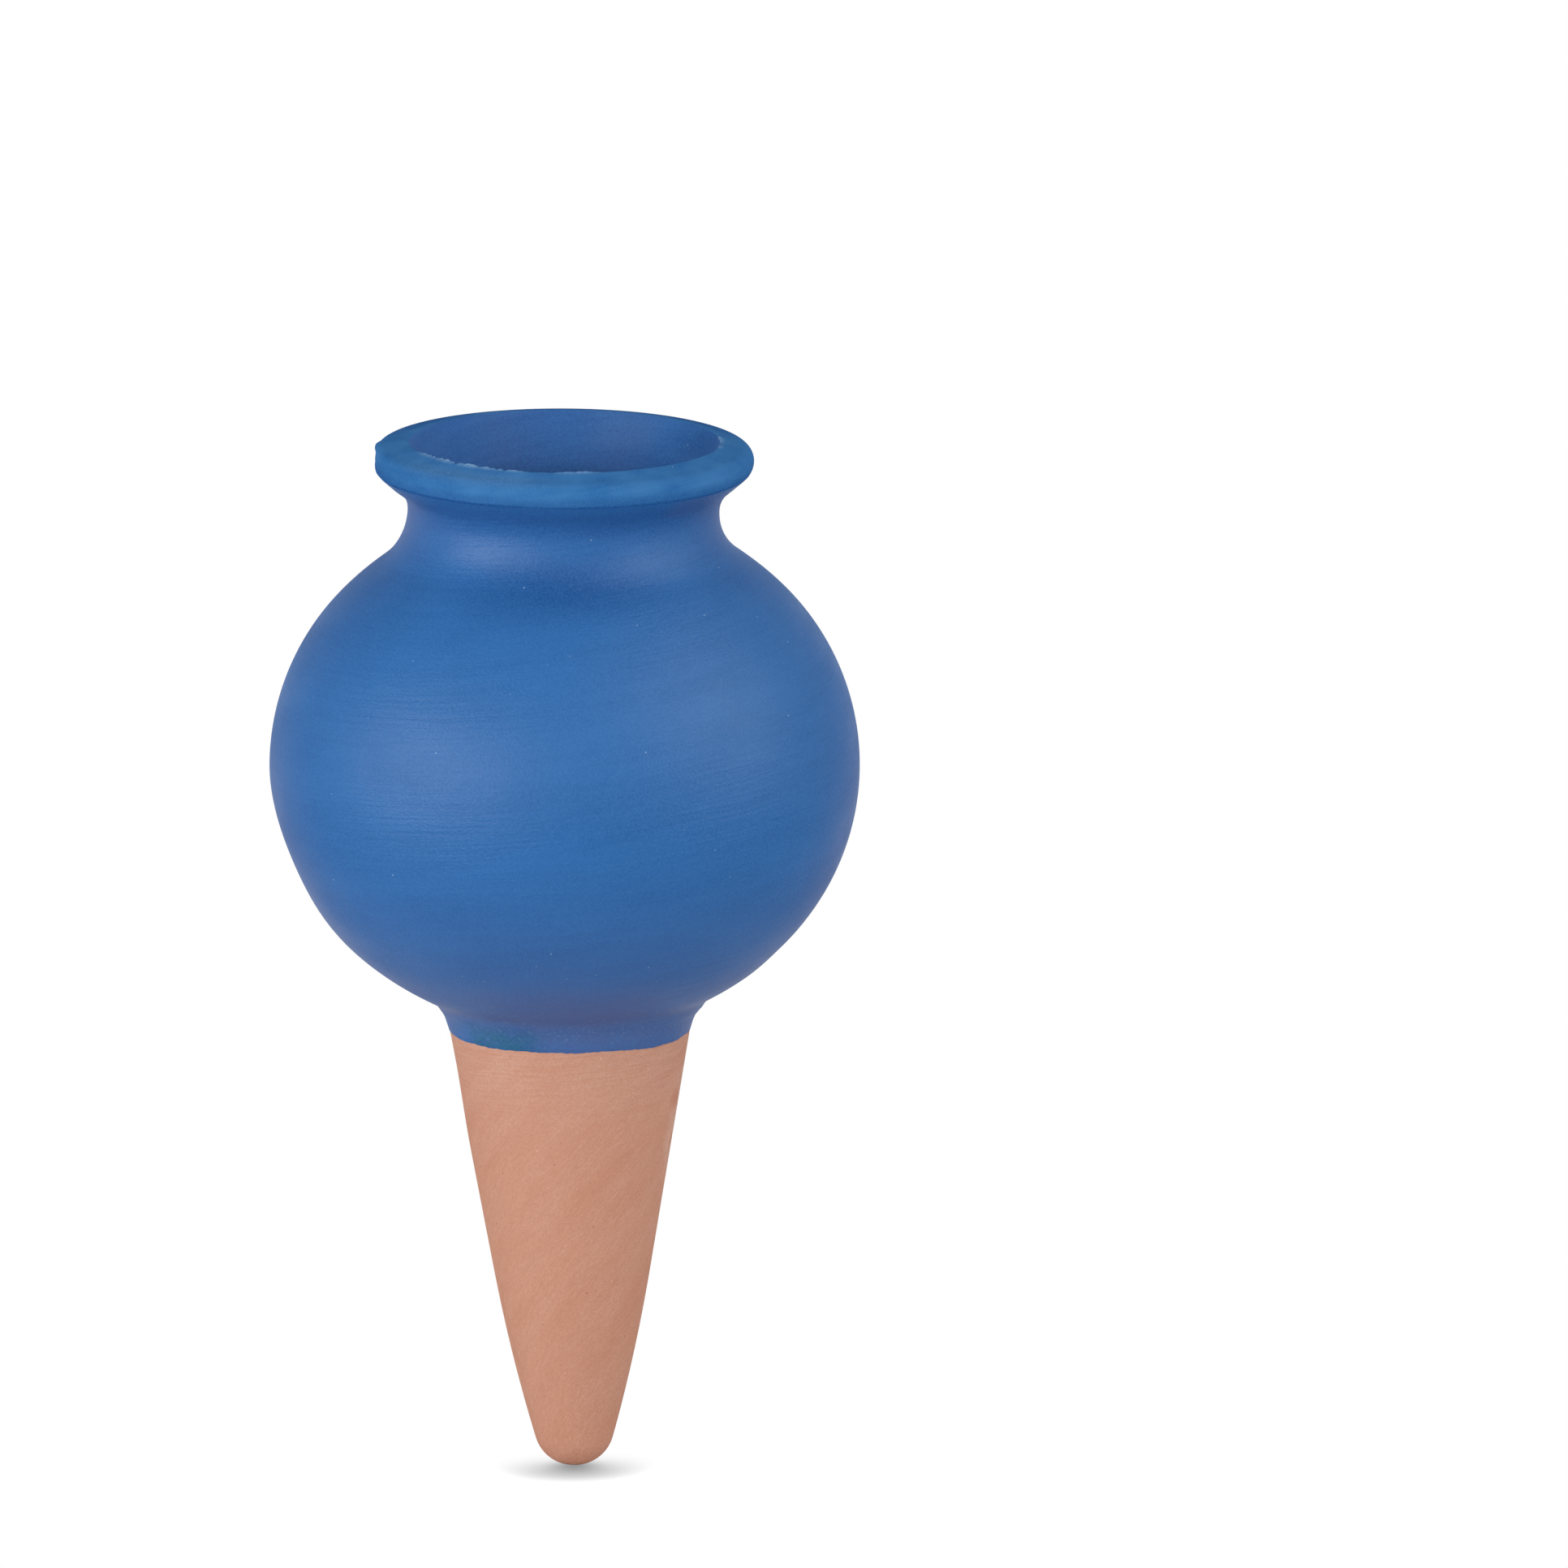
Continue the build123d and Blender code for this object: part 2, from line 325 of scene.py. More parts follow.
# %% [markdown]
# A potter's wheel in a few lines: the outline is turned about the axis in even steps, each pair of steps is
# joined by a strip of quads, and points that meet on the axis are merged. Angle 0 faces the viewer and grows
# to the right, so a mark seen in the photograph is placed by how far round it lies.

# %% Turn a section on the wheel
MERGE = 1e-7


def turned(name, node, spacing, steps):
    """A new mesh object, the node's section turned about the axis in that many steps."""
    outline, closed = section(node, spacing)
    rows = len(outline)
    angles = np.linspace(0, 2 * math.pi, steps, endpoint=False)
    reach = np.maximum(outline[:, :1], 0)
    places = np.stack([reach * np.sin(angles), -reach * np.cos(angles), outline[:, 1:] + 0 * angles], axis=2)
    row = np.arange(rows if closed else rows - 1)[:, None] * steps
    next_row = (row + steps) % (rows * steps)
    here = np.arange(steps)
    there = (here + 1) % steps
    quads = np.stack([row + here, row + there, next_row + there, next_row + here], axis=2).reshape(-1, 4)
    shell = bmesh.new()
    mesh = bpy.data.meshes.new(name)
    mesh.from_pydata(places.reshape(-1, 3).tolist(), [], quads.tolist())
    shell.from_mesh(mesh)
    bmesh.ops.remove_doubles(shell, verts=shell.verts, dist=MERGE)
    bmesh.ops.recalc_face_normals(shell, faces=shell.faces)
    shell.to_mesh(mesh)
    shell.free()
    mesh.shade_smooth()
    piece = bpy.data.objects.new(name, mesh)
    bpy.context.collection.objects.link(piece)
    print(name, len(mesh.vertices), "points")
    return piece


print("points closer than", MERGE / MM, "mm are merged")

# %% [markdown]
# Hand work is irregular but not noisy. A sum of whole waves round the pot with seeded phases gives a line
# that wanders and closes on itself, and a soft window limits a mark to where it was made.

# %% Hand-made lines
def wander(angle, lowest, highest, seed):
    """An irregular line round the pot, mostly between -1 and 1, from waves of lowest to highest per turn."""
    chance = np.random.default_rng(seed)
    total = np.zeros_like(angle)
    for waves in range(lowest, highest + 1):
        total += chance.normal() * np.cos(waves * np.radians(angle) + chance.uniform(0, 2 * math.pi))
    return total / math.sqrt(highest - lowest + 1)


def ease(value, low, high):
    """0 up to low, 1 from high on, and a smooth rise between them."""
    share = np.clip((value - low) / (high - low), 0, 1)
    return share * share * (3 - 2 * share)


def between(value, low, high, soft):
    """1 inside a range and 0 outside it, with soft edges of that width."""
    return ease(value, low - soft / 2, low + soft / 2) * (1 - ease(value, high - soft / 2, high + soft / 2))


print("wander of a ring", np.round(wander(np.arange(0, 360, 60.0), 2, 9, 1), 2))

# %% [markdown]
# A finished mesh is shaped and marked by its points. Holding them as arrays of angle, radius and height lets
# one line of arithmetic move or mark them all. A mark is a number on each point that a material can read,
# which keeps it in place on the pot from any side.

# %% Shape and mark a skin
CREASE = math.radians(40)
OUTWARDS = 0.3
ALL_ROUND = (-999, 999, 1)
BELOW = -999


class Skin:
    """A piece's points as arrays: angle round from the front in degrees, radius and height in millimetres."""

    def __init__(self, piece):
        self.mesh = piece.data
        places, normals = np.empty((2, 3 * len(self.mesh.vertices)))
        self.mesh.vertices.foreach_get("co", places)
        self.mesh.vertices.foreach_get("normal", normals)
        self.places = places.reshape(-1, 3)
        self.angle = np.degrees(np.arctan2(self.places[:, 0], -self.places[:, 1]))
        self.radius = np.hypot(self.places[:, 0], self.places[:, 1]) / MM
        self.height = self.places[:, 2] / MM
        facing = normals.reshape(-1, 3)
        around = np.radians(self.angle)
        self.outer = facing[:, 0] * np.sin(around) - facing[:, 1] * np.cos(around) > OUTWARDS

    def move(self, outwards=0.0, upwards=0.0, rightwards=0.0):
        """Moves the points by millimetres, away from the axis, along it and to the viewer's right."""
        self.places[:, 0] += (outwards * np.sin(np.radians(self.angle)) + rightwards) * MM
        self.places[:, 1] -= outwards * np.cos(np.radians(self.angle)) * MM
        self.places[:, 2] += upwards * MM
        self.mesh.vertices.foreach_set("co", self.places.ravel())
        self.mesh.update()
        self.mesh.set_sharp_from_angle(angle=CREASE)

    def patch(self, heights, angles):
        """1 in a window of heights and angles, each given as its low, its high and how soft its edges are."""
        return between(self.height, *heights) * between(self.angle, *angles)

    def patches(self, table):
        """The sum of a table of patches, each row a strength, heights and angles."""
        return sum(strength * self.patch(heights, angles) for strength, heights, angles in table.values())

    def mark(self, name, amount):
        """Stores a number from 0 to 1 on every point, for a material to read."""
        store = self.mesh.attributes.new(name, "FLOAT", "POINT")
        store.data.foreach_set("value", np.clip(amount, 0, 1).astype(np.float32))


print("edges sharper than", round(math.degrees(CREASE)), "degrees stay sharp")

# %% [markdown]
# No thrown pot is true. This one's lip came off the wheel tipped down to the right and pushed a little that
# way, and it is pinched at its left end. The mouth is tight on the left and stands up a little in front. The
# bowl is flattened low on the left, the crease under it bulges on the right, and the cone was stuck on a hair
# to the right and is fuller on its left. Every piece takes the same moves, so the coat stays on the clay.

# %% Out of true
RIM_TILT = math.radians(0.95)
NECK_LEVEL, LIP_LEVEL = 78.0, 92.0
GLOBE_FOOT = 22.0
LIP_PUSH, CONE_PUSH = 0.33, 0.32
MOUTH_RADIUS = 25.5
MOUTH_TIGHT, TIGHT_ANGLES = 0.75, (-140, -50, 60)
MOUTH_LIFT, LIFT_ANGLES = 0.45, (-80, 80, 60)
WOBBLE = 0.08
DENT = 0.7, (20, 36, 16), (-120, -60, 50)
BULGE = 0.35, (3.5, 12, 5), (55, 125, 70)
LIP_PINCH = 0.6, (92.2, 94.8, 2), (-130, -60, 40)
CONE_FULL = 0.35, (-78, -12, 16), (-140, -40, 60)


def out_of_true(skin):
    """Moves a piece's points as this pot departs from a true turning."""
    upper = ease(skin.height, NECK_LEVEL, LIP_LEVEL)
    lower = 1 - ease(skin.height, 0, GLOBE_FOOT)
    sideways = skin.radius * np.sin(np.radians(skin.angle))
    inner = 1 - ease(skin.radius, MOUTH_RADIUS, MOUTH_RADIUS + 2.5)
    tight = MOUTH_TIGHT * between(skin.angle, *TIGHT_ANGLES) * inner
    wobble = WOBBLE * wander(skin.angle, 2, 5, 7) * ease(skin.radius, 5, 15)
    rim = (1 - ease(skin.radius, MOUTH_RADIUS, MOUTH_RADIUS + 3)) * ease(skin.height, 92, 95.5)
    lift = MOUTH_LIFT * rim * between(skin.angle, *LIFT_ANGLES)
    dent = skin.patches({"dent": DENT}) * ease(skin.radius, 15, 30)
    pinch = skin.patches({"pinch": LIP_PINCH}) * ease(skin.radius, 27, 29.5)
    fuller = skin.patches({"bulge": BULGE, "cone": CONE_FULL})
    skin.move(outwards=wobble - upper * tight - dent - pinch + fuller,
              upwards=lift - math.tan(RIM_TILT) * upper * sideways,
              rightwards=LIP_PUSH * upper + CONE_PUSH * lower)


lip_width = 2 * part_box("rim_coat")[1].x
print("the lip falls", round(lip_width * math.tan(RIM_TILT) / MM, 2), "mm from left to right")

# %% [markdown]
# A small helper hands each finished piece over: it takes its material, stands in for its node and rides on
# the one rigid body.

# %% Hand over a piece
def hand_over(piece, node, material):
    """Finishes a piece that stands for a node of the frame."""
    piece.data.materials.clear()
    piece.data.materials.append(material)
    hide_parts(node)
    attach(piece, "root")
    print(piece.name, "stands for", node)


print("to dress:", ", ".join(frame["nodes"]))

# %% [markdown]
# A wiped or brushed surface has patterns that run in long lines. To draw one, the point on the object is
# counted in millimetres and stretched along the line. The whole pattern can lean, as when a brush is held
# askew, or be twisted with height, which turns upright lines into ones that climb round the pot. Small dots
# come from a cell pattern, of which only a share of the cells is drawn.

# %% Lines and dots in millimetres
def in_millimetres(tree):
    """The point on the object, in millimetres."""
    place = add(tree, "ShaderNodeTexCoord").outputs["Object"]
    return add(tree, "ShaderNodeVectorMath", {0: place, "Scale": 1 / MM}, operation="SCALE")


def stretched(tree, point, flat, upright, lean=0.0, twist=0.0):
    """The point on a pattern of those sizes in millimetres, leaning, and twisted so much a millimetre."""
    leaning = add(tree, "ShaderNodeVectorRotate", {"Vector": point, "Angle": lean}, rotation_type="Y_AXIS")
    height = add(tree, "ShaderNodeSeparateXYZ", {0: leaning}).outputs["Z"]
    turn = add(tree, "ShaderNodeMath", {0: height, 1: twist}, operation="MULTIPLY")
    wound = add(tree, "ShaderNodeVectorRotate", {"Vector": leaning, "Angle": turn}, rotation_type="Z_AXIS")
    sizes = (1 / flat, 1 / flat, 1 / upright)
    return add(tree, "ShaderNodeVectorMath", {0: wound, 1: sizes}, operation="MULTIPLY")


def dots(tree, point, apart, radius, share):
    """1 on dots of that radius in millimetres, one for each chosen cell of about that size."""
    cells = add(tree, "ShaderNodeTexVoronoi", {"Vector": point, "Scale": 1 / apart})
    spot = add(tree, "ShaderNodeMapRange", {"Value": cells.outputs["Distance"], "From Min": radius / apart,
                                            "From Max": 0.4 * radius / apart})
    chance = add(tree, "ShaderNodeSeparateColor", {0: cells.outputs["Color"]})
    chosen = add(tree, "ShaderNodeMath", {0: chance, 1: share}, operation="LESS_THAN")
    return add(tree, "ShaderNodeMath", {0: spot, 1: chosen}, operation="MULTIPLY")


print("a pixel of the photograph is", round(metres_per_pixel / MM, 2), "mm, so finer grain is drawn coarser")

# %% [markdown]
# Both finishes are a ground colour with patterns over it. Each pattern is a noise, spread so that it runs
# from 0 to 1. It is kept twice: as relief, for bump and gloss, and as a layer, an amount of a tint to mix in.

# %% Patterns and layers
NOISE_LOW, NOISE_HIGH = 0.35, 0.65


def spread_noise(tree, patterns):
    """For patterns of (vector, detail, strength, tint): the relief of each, and its (amount, tint) layer."""
    relief, layers = {}, []
    for pattern, (vector, detail, strength, tint) in patterns.items():
        noise = add(tree, "ShaderNodeTexNoise", {"Vector": vector, "Scale": 1.0, "Detail": detail})
        relief[pattern] = add(tree, "ShaderNodeMapRange", {"Value": noise, "From Min": NOISE_LOW,
                                                           "From Max": NOISE_HIGH})
        amount = add(tree, "ShaderNodeMath", {0: relief[pattern], 1: strength}, operation="MULTIPLY")
        layers.append((amount, tint))
    return relief, layers


def laid_over(tree, colour, layers):
    """The colour after each layer's tint is mixed in by its amount, one after another."""
    for amount, tint in layers:
        colour = add(tree, "ShaderNodeMix", {0: amount, 6: colour, 7: tint}, data_type="RGBA")
    return colour


print("noise between", NOISE_LOW, "and", NOISE_HIGH, "is spread from 0 to 1")

# %% [markdown]
# Terracotta is low-fired red clay. It is matt and porous, with no glaze to shine. It was wiped level with a
# damp sponge just under the paint, then drawn off slantwise towards the tip, which leaves faint climbing
# scratches and soft red streaks. Sand is about 0.1 mm and is drawn at 0.35 mm, so that it shows.

# %% Terracotta, wiped and fired
CLAY = swatch("d39e85")
CLAY_PALE = swatch("d6aa96")
CLAY_RED = swatch("c07c62")
CLAY_PORE = swatch("80503f")
CLAY_GRIT = swatch("e4cabb")
WIPED_TO, DRAWN_FROM = -5.0, -15.0
DRAWN_TWIST = -0.06
WIPE_LEAN = 0.07
PORES = 1.2, 0.14, 0.07
GRIT = 1.3, 0.13, 0.04
CLAY_RELIEF = 0.025 * MM
CLAY_SHINE = 0.07
LINE_DEPTH = 4.0


def terracotta(name):
    """Red earthenware: streaky red, wipe lines near the top, drawn lines below, sand, pores and pale grit."""
    material, tree = blank_material(name)
    point = in_millimetres(tree)
    height = add(tree, "ShaderNodeSeparateXYZ", {0: point}).outputs["Z"]
    fading = {"Value": height, "From Min": WIPED_TO, "From Max": DRAWN_FROM}
    wiped = add(tree, "ShaderNodeMapRange", {**fading, "To Min": 0.5, "To Max": 0.05})
    drawn = add(tree, "ShaderNodeMapRange", {**fading, "To Min": 0.05, "To Max": 0.24})
    patterns = {
        "streaks": (stretched(tree, point, 4.5, 15.0, twist=DRAWN_TWIST), 3.0, 0.27, CLAY_RED),
        "patches": (stretched(tree, point, 7.0, 9.0, twist=DRAWN_TWIST), 2.0, 0.2, CLAY_PALE),
        "wiped": (stretched(tree, point, 9.0, 0.4, lean=WIPE_LEAN), 2.0, wiped, CLAY_PALE),
        "drawn": (stretched(tree, point, 0.35, 8.0, twist=DRAWN_TWIST), 2.0, drawn, CLAY_RED),
        "sand": (stretched(tree, point, 0.35, 0.35), 2.0, 0.34, CLAY_RED),
    }
    relief, layers = spread_noise(tree, patterns)
    for sizes, tint in ((PORES, CLAY_PORE), (GRIT, CLAY_GRIT)):
        layers.append((dots(tree, point, *sizes), tint))
    for mark, tint in (("pale", CLAY_GRIT), ("red", CLAY_RED)):
        layers.append((add(tree, "ShaderNodeAttribute", attribute_name=mark).outputs["Fac"], tint))
    colour = laid_over(tree, CLAY, layers)
    lines = add(tree, "ShaderNodeMath", {0: relief["wiped"], 1: wiped}, operation="MULTIPLY")
    lines = add(tree, "ShaderNodeMath", {0: relief["drawn"], 1: drawn, 2: lines}, operation="MULTIPLY_ADD")
    depths = {0: lines, 1: LINE_DEPTH, 2: relief["sand"]}
    rough = add(tree, "ShaderNodeMath", depths, operation="MULTIPLY_ADD")
    bump = add(tree, "ShaderNodeBump", {"Height": rough, "Distance": CLAY_RELIEF, "Strength": 1.0})
    gloss = add(tree, "ShaderNodeMapRange", {"Value": relief["patches"], "To Min": 0.9, "To Max": 0.78})
    shader = add(tree, "ShaderNodeBsdfPrincipled", {"Base Color": colour, "Roughness": gloss, "IOR": 1.5,
                                                    "Specular IOR Level": CLAY_SHINE, "Normal": bump})
    add(tree, "ShaderNodeOutputMaterial", {"Surface": shader})
    print(name, "with", ", ".join([*patterns, "pores", "grit"]))
    return material


print("wiped above", WIPED_TO, "mm, drawn below", DRAWN_FROM, "mm")

# %% [markdown]
# The blue is matt paint, brushed on in turns. It hides the clay where it is thick and lets its red through,
# as violet, where it is thin. A brush leaves near-level lines, which show as fine ridges in the highlights
# more than as colour. A heavy load dries more cyan, and where the brush lifted or chipped the coat goes pale.
# The marks on the points say where each of these is, and the material says what it looks like. A fine dusty
# tooth lies over all of it. A bristle's line is about 0.2 mm wide and is drawn at 0.5 mm or more, a scratch
# is about 0.1 mm and is drawn at 0.3 mm, and dust and tooth are drawn at about 0.3 mm too.

# %% Blue coat, brushed
COAT_DEEP = swatch("124788")
COAT_VIOLET = swatch("586597")
COAT_TEAL = swatch("1a5c74")
COAT_CHALK = swatch("9fc0da")
COAT_DUST = swatch("437ab7")
BRUSH_LEAN = 0.1
HAIR_SIZE, HAIR_LEAN = (0.3, 2.0), 0.9
DUST = 1.2, 0.14, 0.03
COAT_RELIEF = 0.028 * MM
GLOSS_SPREAD = 0.05


def blue_coat(name, deep, pale, patch_width, patch_strength, brush_width, brush_strength, grain, roughness,
              shine):
    """Matt paint between two blues, in patches and brush lines of those widths in millimetres."""
    material, tree = blank_material(name)
    point = in_millimetres(tree)
    patterns = {
        "cloud": (stretched(tree, point, patch_width, patch_width / 2, lean=BRUSH_LEAN), 4.0, patch_strength,
                  pale),
        "bands": (stretched(tree, point, 26.0, 2.6, lean=1.6 * BRUSH_LEAN), 2.0, 0.14, pale),
        "strokes": (stretched(tree, point, 16.0, brush_width, lean=BRUSH_LEAN), 3.0, brush_strength, pale),
        "tooth": (stretched(tree, point, 0.35, 0.35), 2.0, grain, COAT_DUST),
    }
    relief, (*layers, dusty_top) = spread_noise(tree, patterns)
    uneven = add(tree, "ShaderNodeMapRange", {"Value": relief["tooth"], "To Min": 0.4, "To Max": 1.3})
    hair_lines = stretched(tree, point, *HAIR_SIZE, lean=HAIR_LEAN)
    hairs = add(tree, "ShaderNodeTexNoise", {"Vector": hair_lines, "Scale": 1.0})
    hairs = add(tree, "ShaderNodeMapRange", {"Value": hairs, "From Min": 0.62, "From Max": 0.72})
    # thin tints violet: thin paint, and in places painted sheen and painted shade. deep tints a darker blue:
    # mostly painted shade, with heavy paint at a loaded touch.
    marks = {"thin": (COAT_VIOLET, 1.0), "deep": (COAT_DEEP, 1.0), "teal": (COAT_TEAL, uneven),
             "chalk": (COAT_CHALK, uneven), "scraped": (COAT_CHALK, hairs)}
    for mark, (tint, share) in marks.items():
        amount = add(tree, "ShaderNodeAttribute", attribute_name=mark).outputs["Fac"]
        amount = add(tree, "ShaderNodeMath", {0: amount, 1: share}, operation="MULTIPLY", use_clamp=True)
        layers.append((amount, tint))
    dust = dots(tree, point, *DUST)
    colour = laid_over(tree, deep, [*layers, dusty_top, (dust, COAT_CHALK)])
    rough = add(tree, "ShaderNodeMath", {0: relief["strokes"], 1: relief["tooth"]})
    bump = add(tree, "ShaderNodeBump", {"Height": rough, "Distance": COAT_RELIEF, "Strength": 1.0})
    gloss = add(tree, "ShaderNodeMapRange", {"Value": relief["cloud"], "To Min": roughness + GLOSS_SPREAD,
                                             "To Max": roughness - GLOSS_SPREAD})
    shader = add(tree, "ShaderNodeBsdfPrincipled", {"Base Color": colour, "Roughness": gloss, "IOR": 1.5,
                                                    "Specular IOR Level": shine, "Normal": bump})
    add(tree, "ShaderNodeOutputMaterial", {"Surface": shader})
    print(name, "with", ", ".join(patterns))
    return material


print("brush lines lean by", round(math.degrees(BRUSH_LEAN), 1), "degrees")

# %% [markdown]
# The cone is bare clay, so its wiped skin shows. A run of slip smeared down its right side stands a little
# proud and tapers as it goes, with a red lump at its top where a finger left off. Both are raised in the mesh
# and marked for the clay's material, so they show from any side. The smear's pale colour is partly slip and
# partly a painted sheen of light grazing the cone's right edge.

# %% Bare cone
SMEAR_PROUD, SMEAR_PALE_AND_SHEEN = 0.28, 0.25
SMEAR_ANGLE, SMEAR_HEIGHTS = 73.0, (-23, -10, 8)
SMEAR_FOOT, SMEAR_TOP = -25.0, -12.0
LUMP_PROUD, LUMP_RED = 0.25, 0.6
LUMP_ANGLE, LUMP_HEIGHT = 71.0, -10.5

cone = turned("bare_cone", "spike", spacing=0.8 * MM, steps=220)
cone_skin = Skin(cone)
angle, height = cone_skin.angle, cone_skin.height
middle = SMEAR_ANGLE + 2.0 * np.sin(height / 2.3) + 1.2 * np.sin(height / 0.9)
half_width = 2.0 + 5.0 * ease(height, SMEAR_FOOT, SMEAR_TOP)
smear = (1 - ease(np.abs(angle - middle) / half_width, 0.2, 1.4)) * between(height, *SMEAR_HEIGHTS)
from_lump = np.hypot(np.radians(angle - LUMP_ANGLE) * cone_skin.radius, height - LUMP_HEIGHT)
lump = 1 - ease(from_lump, 0.3, 2.6)
cone_skin.move(outwards=cone_skin.outer * (SMEAR_PROUD * smear + LUMP_PROUD * lump))
out_of_true(cone_skin)
# Pale slip, and a painted sheen where light grazes the cone's right edge.
cone_skin.mark("pale", SMEAR_PALE_AND_SHEEN * smear)
cone_skin.mark("red", LUMP_RED * lump)
hand_over(cone, "spike", terracotta("terracotta_wiped"))

# %% [markdown]
# The globe's clay shows only inside, below the painted throat, but it carries the coat, so it takes the same
# moves. The slip that sticks cone and globe together shows as a ring at the bottom of the inside.

# %% Clay globe and slip joint
globe = turned("clay_globe", "globe", spacing=1.2 * MM, steps=180)
out_of_true(Skin(globe))
hand_over(globe, "globe", terracotta("terracotta_thrown"))

slip = turned("luted_slip", "slip_joint", spacing=0.5 * MM, steps=180)
out_of_true(Skin(slip))
hand_over(slip, "slip_joint", terracotta("slip_sponged"))

# %% [markdown]
# The globe's coat ends low down in a line cut by a brush held against the turning pot. It is level, slightly
# ragged, sags a little on the right and feathers out to nothing. Above it, wet coat pooled in the crease and
# rounded it. All of this is shape, so the points are moved.

# %% Shape of the globe coat
FEATHER_HEIGHT, FEATHER_DEPTH = 1.6, 0.22
RAGGED_SLOW, RAGGED_FAST = 0.07, 0.05
SAG, SAG_ANGLES = 0.35, (30, 75, 30)
POOL_PROUD, POOL_HEIGHTS, POOL_ANGLES = 0.7, (2.8, 5.0, 2.6), (55, 125, 70)

coat = turned("painted_globe", "globe_coat", spacing=0.8 * MM, steps=280)
coat_skin = Skin(coat)
angle, height = coat_skin.angle, coat_skin.height
feather = coat_skin.outer * (1 - ease(height, 0, FEATHER_HEIGHT))
ragged = RAGGED_SLOW * wander(angle, 3, 24, 11) + RAGGED_FAST * wander(angle, 40, 110, 12)
ragged = ragged - SAG * between(angle, *SAG_ANGLES)
pool = coat_skin.outer * between(height, *POOL_HEIGHTS) * (0.5 + 0.5 * between(angle, *POOL_ANGLES))
coat_skin.move(outwards=POOL_PROUD * pool - FEATHER_DEPTH * feather,
               upwards=ragged * (1 - ease(height, 0.2, 3)))
out_of_true(coat_skin)
print("the paint's edge wanders over", round(float(np.ptp(ragged)), 2), "mm")

# %% [markdown]
# Around the crease the coat was wiped thin and goes violet. It is thin low on the bowl too, where the red
# cone's bounce is painted in as well, and the violet at the left and right is painted sheen. Under the lip
# and the shoulder, left of the shoulder, right of the crease and on the collar the coat is painted darker:
# painted shade. One loaded touch dried heavy and teal, and the collar is scraped. Single patches are told in
# tables of strength, heights in millimetres and angles in degrees. What follows the crease or a drip wanders
# with it.

# %% Marks on the globe coat
# Painted shade: the coat is drawn darker where shade falls on the globe.
PAINTED_SHADE = {
    "under the lip": (0.35, (85.5, 91, 4), ALL_ROUND),
    "under the shoulder": (0.7, (75, 82, 7), (-24, 24, 44)),
    "left of the shoulder": (0.2, (62, 78, 12), (-120, -52, 30)),
    "right of the crease": (0.2, (4, 14, 6), (40, 85, 30)),
    "top of the collar": (0.13, (2.9, 4.6, 2), ALL_ROUND),
    "collar": (0.11, (BELOW, 4.9, 2.6), ALL_ROUND),
}
# Thin violet paint, and painted shade: under the lip on the right and on the collar the violet also darkens
# where shade falls.
THIN_AND_SHADE = {
    "neck": (0.1, (85, 91, 4), ALL_ROUND),
    "under the lip": (0.4, (88, 92, 2), (38, 58, 10)),
    "collar": (0.1, (BELOW, 3.5, 3), ALL_ROUND),
    "right of the collar": (0.46, (BELOW, 3.5, 3), (-25, 130, 70)),
}
CHALKY = {"collar": (0.03, (0.5, 5, 2), ALL_ROUND), "by the touch": (0.05, (0.5, 5, 2), (-66, -30, 20))}
SCRAPED = {"collar": (0.25, (1.5, 8.5, 3), ALL_ROUND)}
CREASE_WIDE, CREASE_NARROW = (2.6, 11.6, 9), (3.5, 7.3, 3.6)

level = height + 0.35 * wander(angle, 3, 18, 15)
crease = between(level, *CREASE_WIDE) * (0.46 + 0.12 * wander(angle, 2, 10, 13))
crease = crease + 0.5 * between(level, *CREASE_NARROW)
# Low on the bowl the coat is thin, and the red bounce from the cone below is painted in with it.
bowl = 0.42 * (1 - ease(height, 6, 42)) * ease(height, 4, 12)
# Painted sheen: a violet cast at the left and right of the globe and the neck, where the view grazes the pot.
edge_sheen = ease(np.abs(angle), 50, 90) * (0.18 + 0.42 * (1 - ease(height, 35, 60)))
neck_edge_sheen = 0.3 * between(height, 80, 90, 6) * ease(np.abs(angle), 40, 80)
# thin: violet where the paint is thin, with painted sheen at the left and right and painted shade as noted.
coat_skin.mark("thin", coat_skin.patches(THIN_AND_SHADE) + crease + bowl + edge_sheen + neck_edge_sheen)

touch = ease(angle, -56, -48) * (1 - ease(angle, -26, -8))
drips = 0.5 * wander(angle, 8, 60, 14)
blotches = np.clip(0.75 + 0.45 * wander(angle + 5 * height, 14, 60, 16), 0, 1.2)
loaded = touch * (1 - ease(height, 3.8 + drips, 5.6 + drips))
# deep: painted shade from the table above, and heavy paint at the loaded touch.
coat_skin.mark("deep", coat_skin.patches(PAINTED_SHADE) + 0.25 * loaded)
coat_skin.mark("teal", 1.1 * blotches * touch * (1 - ease(height, 1.8 + drips, 4.2 + drips)))
coat_skin.mark("chalk", coat_skin.patches(CHALKY))
coat_skin.mark("scraped", coat_skin.patches(SCRAPED))
print("marks on the globe coat:", ", ".join(store.name for store in coat_skin.mesh.attributes
                                            if store.data_type == "FLOAT"))

# %% [markdown]
# The globe's finish is the plainest of the three blues: fine brush lines, a soft cloud and a low sheen, which
# gives the two broad pale patches where the soft boxes meet it.

# %% Finish of the globe coat
GLOBE_BLUES = swatch("2560a0"), swatch("3775b9")

matt_paint = blue_coat("matt_paint_brushed", *GLOBE_BLUES, patch_width=18.0, patch_strength=0.25,
                       brush_width=0.5, brush_strength=0.14, grain=0.34, roughness=0.46, shine=0.04)
hand_over(coat, "globe_coat", matt_paint)

# %% [markdown]
# The lip took a second, heavier pass of the brush. Its lower edge stands proud, most on the left, a drop
# dried as a spur at the left end, and along the mouth the coat has cracked into a ragged burr. The burr needs
# fine points, so this ring is turned in many more steps than the rest.

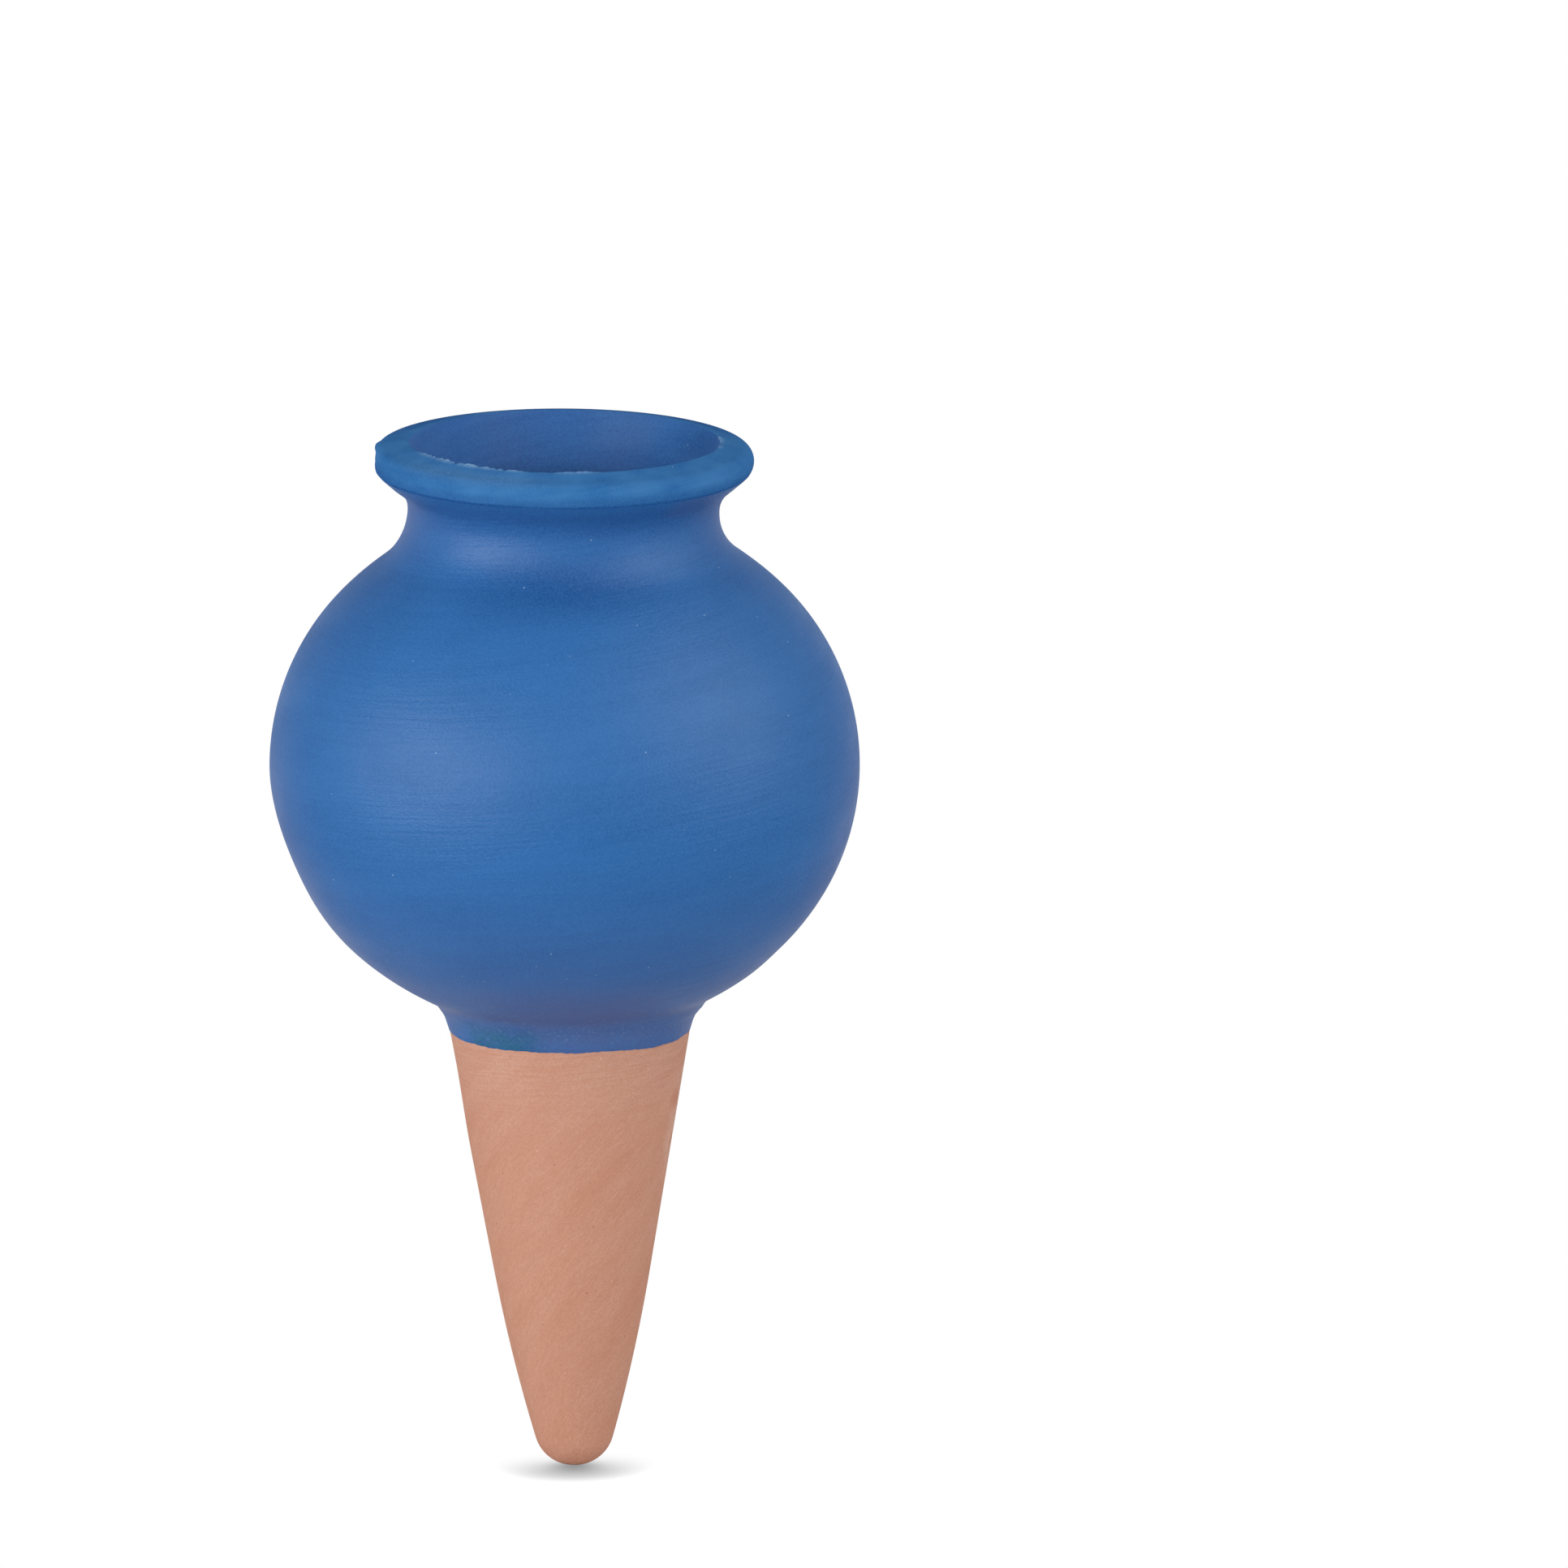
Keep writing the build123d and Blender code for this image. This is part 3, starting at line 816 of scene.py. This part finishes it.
# %% Shape of the rim coat
BURR_RISE, BURR_LEAN = 0.36, 0.14
TORN = {"left": (1.0, (-64, -16, 12)), "front": (0.7, (-6, 12, 8)), "right": (0.7, (80, 104, 8))}
LEDGE = {"left": (1.0, (-66, -14, 20)), "front": (0.5, (-14, 62, 20))}
STEP_PROUD = 0.42
SPUR_PROUD, SPUR_RADIUS = 0.6, 28.5
SPUR_HEIGHTS, SPUR_ANGLES = (95.0, 96.4, 1.2), (-97, -87, 6)

rim = turned("painted_rim", "rim_coat", spacing=0.3 * MM, steps=720)
rim_skin = Skin(rim)
angle, height, radius = rim_skin.angle, rim_skin.height, rim_skin.radius
mouth_edge = (1 - ease(radius, MOUTH_RADIUS, MOUTH_RADIUS + 0.8)) * ease(height, 95, 96)
torn = np.maximum.reduce([share * between(angle, *angles) for share, angles in TORN.values()])
crumbs = np.clip(0.6 + 0.35 * wander(angle, 14, 40, 21) + 0.3 * wander(angle, 60, 170, 22), 0, 1)
burr = torn * crumbs * mouth_edge
ledge = np.maximum.reduce([share * between(angle, *angles) for share, angles in LEDGE.values()])
step = ledge * (1 - ease(height, 91.8, 92.7)) * rim_skin.outer
spur = rim_skin.patch(SPUR_HEIGHTS, SPUR_ANGLES) * (radius > SPUR_RADIUS)
rim_skin.move(outwards=STEP_PROUD * step + SPUR_PROUD * spur - BURR_LEAN * burr, upwards=BURR_RISE * burr)
out_of_true(rim_skin)
print("the burr stands up to", round(float(BURR_RISE * burr.max()), 2), "mm high")

# %% [markdown]
# A heavy load dries more cyan and in uneven patches, so the lip's cloud is finer and stronger than the
# globe's. The burr is pale where it broke. The lip's foot and far side are painted darker as painted shade,
# and the seam under the lip is a painted shadow line.

# %% Finish of the rim coat
LIP_BLUES = swatch("2261a0"), swatch("4483bb")
LIP_FOOT_SHADE, BEHIND_SHADE, SEAM_SHADOW = 0.5, 0.62, 0.9
BURR_CHALK, ROLL_WEAR_AND_HIGHLIGHT = 0.85, 0.1

rolled = between(radius, 27, 30, 2) * ease(height, 93.5, 95.2)
seam = SEAM_SHADOW * ledge * (1 - ease(height, 91.8, 92.1))
behind = ease(np.abs(angle), 90, 125) * ease(radius, 26, 27.5)
# deep: painted shade at the foot and far side of the lip, and a painted shadow along the seam.
rim_skin.mark("deep", LIP_FOOT_SHADE * (1 - ease(height, 92, 94)) + BEHIND_SHADE * behind + seam)
# Pale at the broken burr, and on the front left of the rolled top: chalky wear and a painted highlight.
rim_skin.mark("chalk", BURR_CHALK * burr + ROLL_WEAR_AND_HIGHLIGHT * rolled * between(angle, -58, -8, 24))
heavy_paint = blue_coat("heavy_paint_brushed", *LIP_BLUES, patch_width=7.0, patch_strength=0.5,
                        brush_width=0.9, brush_strength=0.28, grain=0.3, roughness=0.8, shine=0.016)
hand_over(rim, "rim_coat", heavy_paint)

# %% [markdown]
# Inside the mouth the same coat is dusty and in shade, a deep violet blue with the clay's red close behind.

# %% Throat coat
THROAT_BLUES = swatch("275da2"), swatch("437ec4")
# Painted light: a pale patch at the top of the back wall, where the left soft box shines in over the rim.
THROAT_PAINTED_LIGHT = {"back": (0.05, (91, 96, 2), (140, 168, 12))}

throat = turned("painted_throat", "throat_coat", spacing=0.5 * MM, steps=280)
throat_skin = Skin(throat)
angle, height = throat_skin.angle, throat_skin.height
out_of_true(throat_skin)
throat_skin.mark("deep", 0.5 * between(angle, 94, 126, 26) * ease(height, 89, 94))
throat_skin.mark("thin", 0.25 + 0.1 * wander(angle, 2, 12, 31))
throat_skin.mark("chalk", throat_skin.patches(THROAT_PAINTED_LIGHT))
dusty_paint = blue_coat("dusty_paint_brushed", *THROAT_BLUES, patch_width=18.0, patch_strength=0.25,
                        brush_width=0.8, brush_strength=0.25, grain=0.5, roughness=0.75, shine=0.01)
hand_over(throat, "throat_coat", dusty_paint)
